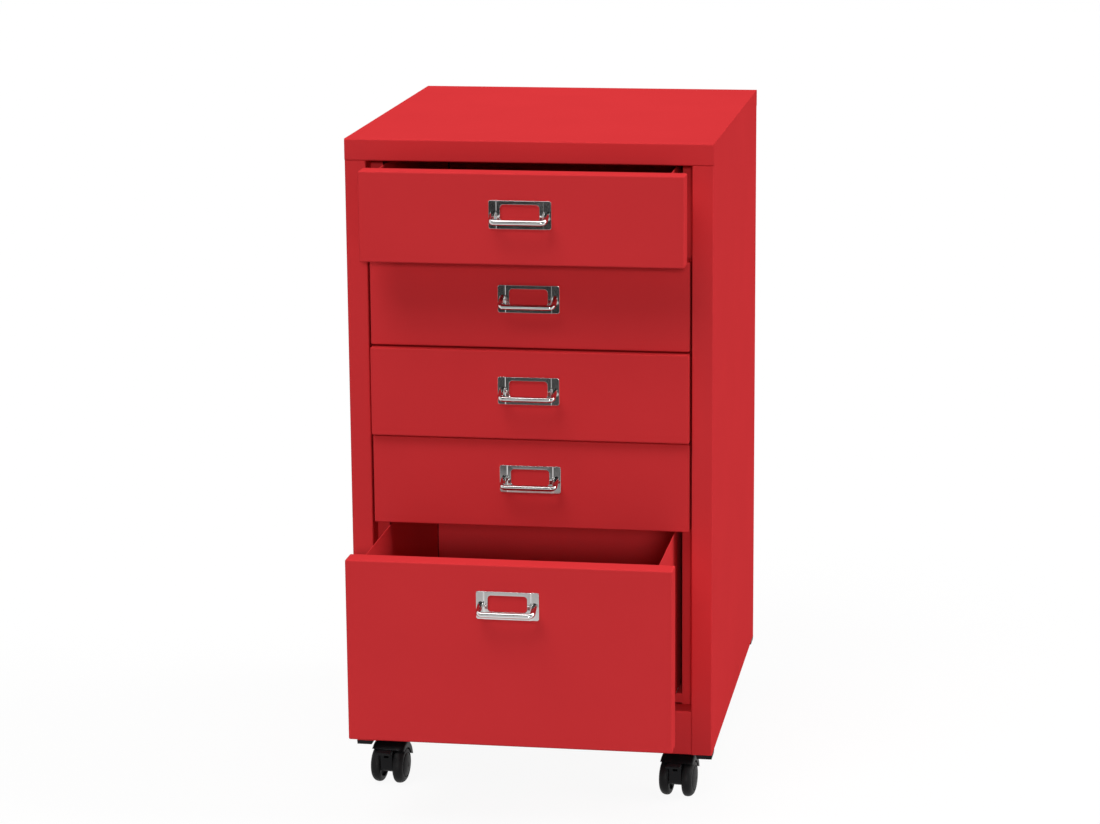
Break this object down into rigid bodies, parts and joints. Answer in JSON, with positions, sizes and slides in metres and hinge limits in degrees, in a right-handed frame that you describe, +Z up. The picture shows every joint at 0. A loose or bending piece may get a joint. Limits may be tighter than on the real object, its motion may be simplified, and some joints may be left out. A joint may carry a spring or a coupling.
{
  "type": "drawer cabinet on casters",
  "caption": "Tall narrow cabinet of folded sheet steel with shallow drawers over one deep drawer, chrome label-holder pulls and twin-wheel swivel casters.",
  "frame": {"origin": "on the floor, under the centre of the casing", "axes": "+X to the right seen from the front, +Y to the back (the drawers open towards -Y), +Z up"},
  "size_m": [0.38, 0.6046, 0.695],
  "materials": {
    "red_sheet": "satin powder coat",
    "chrome": "polished chrome plate",
    "zinc_steel": "zinc plated",
    "nylon": "natural nylon",
    "black_plastic": "moulded black nylon",
    "black_tread": "moulded black nylon wheel"
  },
  "bodies": {
    "casing": {"top_cover": "red_sheet", "left_side_panel": "red_sheet", "right_side_panel": "red_sheet", "back_panel": "red_sheet", "base_pan": "red_sheet", "runners": "red_sheet", "runner_glides": "nylon", "rear_uprights": "red_sheet", "corner_feet": "black_plastic", "caster_nut_plates": "zinc_steel", "caster_stems": "zinc_steel", "back_screws": "zinc_steel"},
    "drawer_1": {"drawer_1_front": "red_sheet", "drawer_1_tub": "red_sheet", "drawer_1_tub_back": "red_sheet", "drawer_1_pull": "chrome", "drawer_1_fixings": "zinc_steel", "drawer_1_glides": "nylon"},
    "drawer_2": {"drawer_2_front": "red_sheet", "drawer_2_tub": "red_sheet", "drawer_2_tub_back": "red_sheet", "drawer_2_pull": "chrome", "drawer_2_fixings": "zinc_steel", "drawer_2_glides": "nylon"},
    "drawer_3": {"drawer_3_front": "red_sheet", "drawer_3_tub": "red_sheet", "drawer_3_tub_back": "red_sheet", "drawer_3_pull": "chrome", "drawer_3_fixings": "zinc_steel", "drawer_3_glides": "nylon"},
    "drawer_4": {"drawer_4_front": "red_sheet", "drawer_4_tub": "red_sheet", "drawer_4_tub_back": "red_sheet", "drawer_4_pull": "chrome", "drawer_4_fixings": "zinc_steel", "drawer_4_glides": "nylon"},
    "drawer_5": {"drawer_5_front": "red_sheet", "drawer_5_tub": "red_sheet", "drawer_5_tub_back": "red_sheet", "drawer_5_pull": "chrome", "drawer_5_fixings": "zinc_steel", "drawer_5_glides": "nylon"},
    "front_left_caster": {"front_left_housing": "black_plastic", "front_left_axle": "zinc_steel"},
    "front_left_wheel_a": {"front_left_wheel_a": "black_tread"},
    "front_left_wheel_b": {"front_left_wheel_b": "black_tread"},
    "front_left_brake_lever": {"front_left_brake_lever": "black_plastic"},
    "rear_left_caster": {"rear_left_housing": "black_plastic", "rear_left_axle": "zinc_steel"},
    "rear_left_wheel_a": {"rear_left_wheel_a": "black_tread"},
    "rear_left_wheel_b": {"rear_left_wheel_b": "black_tread"},
    "front_right_caster": {"front_right_housing": "black_plastic", "front_right_axle": "zinc_steel"},
    "front_right_wheel_a": {"front_right_wheel_a": "black_tread"},
    "front_right_wheel_b": {"front_right_wheel_b": "black_tread"},
    "front_right_brake_lever": {"front_right_brake_lever": "black_plastic"},
    "rear_right_caster": {"rear_right_housing": "black_plastic", "rear_right_axle": "zinc_steel"},
    "rear_right_wheel_a": {"rear_right_wheel_a": "black_tread"},
    "rear_right_wheel_b": {"rear_right_wheel_b": "black_tread"}
  },
  "joints": [
    {"name": "drawer_1_slide", "type": "slide", "parent": "casing", "child": "drawer_1", "axis": [0, -1, 0], "range_m": [-0.048, 0.252]},
    {"name": "drawer_2_slide", "type": "slide", "parent": "casing", "child": "drawer_2", "axis": [0, -1, 0], "range_m": [0, 0.3]},
    {"name": "drawer_3_slide", "type": "slide", "parent": "casing", "child": "drawer_3", "axis": [0, -1, 0], "range_m": [-0.006, 0.294]},
    {"name": "drawer_4_slide", "type": "slide", "parent": "casing", "child": "drawer_4", "axis": [0, -1, 0], "range_m": [0, 0.3]},
    {"name": "drawer_5_slide", "type": "slide", "parent": "casing", "child": "drawer_5", "axis": [0, -1, 0], "range_m": [-0.143, 0.157]},
    {"name": "front_left_swivel", "type": "hinge", "parent": "casing", "child": "front_left_caster", "pos_m": [-0.155, -0.184, 0.04], "axis": [0, 0, 1], "continuous": true},
    {"name": "front_left_wheel_a_spin", "type": "hinge", "parent": "front_left_caster", "child": "front_left_wheel_a", "pos_m": [-0.15709, -0.20389, 0.02], "axis": [0.9945, -0.1045, 0], "continuous": true},
    {"name": "front_left_wheel_b_spin", "type": "hinge", "parent": "front_left_caster", "child": "front_left_wheel_b", "pos_m": [-0.15709, -0.20389, 0.02], "axis": [0.9945, -0.1045, 0], "continuous": true},
    {"name": "front_left_brake", "type": "hinge", "parent": "front_left_caster", "child": "front_left_brake_lever", "pos_m": [-0.15803, -0.21284, 0.0365], "axis": [0.9945, -0.1045, 0], "range_deg": [0, 15]},
    {"name": "rear_left_swivel", "type": "hinge", "parent": "casing", "child": "rear_left_caster", "pos_m": [-0.155, 0.184, 0.04], "axis": [0, 0, 1], "continuous": true},
    {"name": "rear_left_wheel_a_spin", "type": "hinge", "parent": "rear_left_caster", "child": "rear_left_wheel_a", "pos_m": [-0.15709, 0.16411, 0.02], "axis": [0.9945, -0.1045, 0], "continuous": true},
    {"name": "rear_left_wheel_b_spin", "type": "hinge", "parent": "rear_left_caster", "child": "rear_left_wheel_b", "pos_m": [-0.15709, 0.16411, 0.02], "axis": [0.9945, -0.1045, 0], "continuous": true},
    {"name": "front_right_swivel", "type": "hinge", "parent": "casing", "child": "front_right_caster", "pos_m": [0.155, -0.184, 0.04], "axis": [0, 0, 1], "continuous": true},
    {"name": "front_right_wheel_a_spin", "type": "hinge", "parent": "front_right_caster", "child": "front_right_wheel_a", "pos_m": [0.15291, -0.20389, 0.02], "axis": [0.9945, -0.1045, 0], "continuous": true},
    {"name": "front_right_wheel_b_spin", "type": "hinge", "parent": "front_right_caster", "child": "front_right_wheel_b", "pos_m": [0.15291, -0.20389, 0.02], "axis": [0.9945, -0.1045, 0], "continuous": true},
    {"name": "front_right_brake", "type": "hinge", "parent": "front_right_caster", "child": "front_right_brake_lever", "pos_m": [0.15197, -0.21284, 0.0365], "axis": [0.9945, -0.1045, 0], "range_deg": [0, 15]},
    {"name": "rear_right_swivel", "type": "hinge", "parent": "casing", "child": "rear_right_caster", "pos_m": [0.155, 0.184, 0.04], "axis": [0, 0, 1], "continuous": true},
    {"name": "rear_right_wheel_a_spin", "type": "hinge", "parent": "rear_right_caster", "child": "rear_right_wheel_a", "pos_m": [0.15291, 0.16411, 0.02], "axis": [0.9945, -0.1045, 0], "continuous": true},
    {"name": "rear_right_wheel_b_spin", "type": "hinge", "parent": "rear_right_caster", "child": "rear_right_wheel_b", "pos_m": [0.15291, 0.16411, 0.02], "axis": [0.9945, -0.1045, 0], "continuous": true}
  ]
}
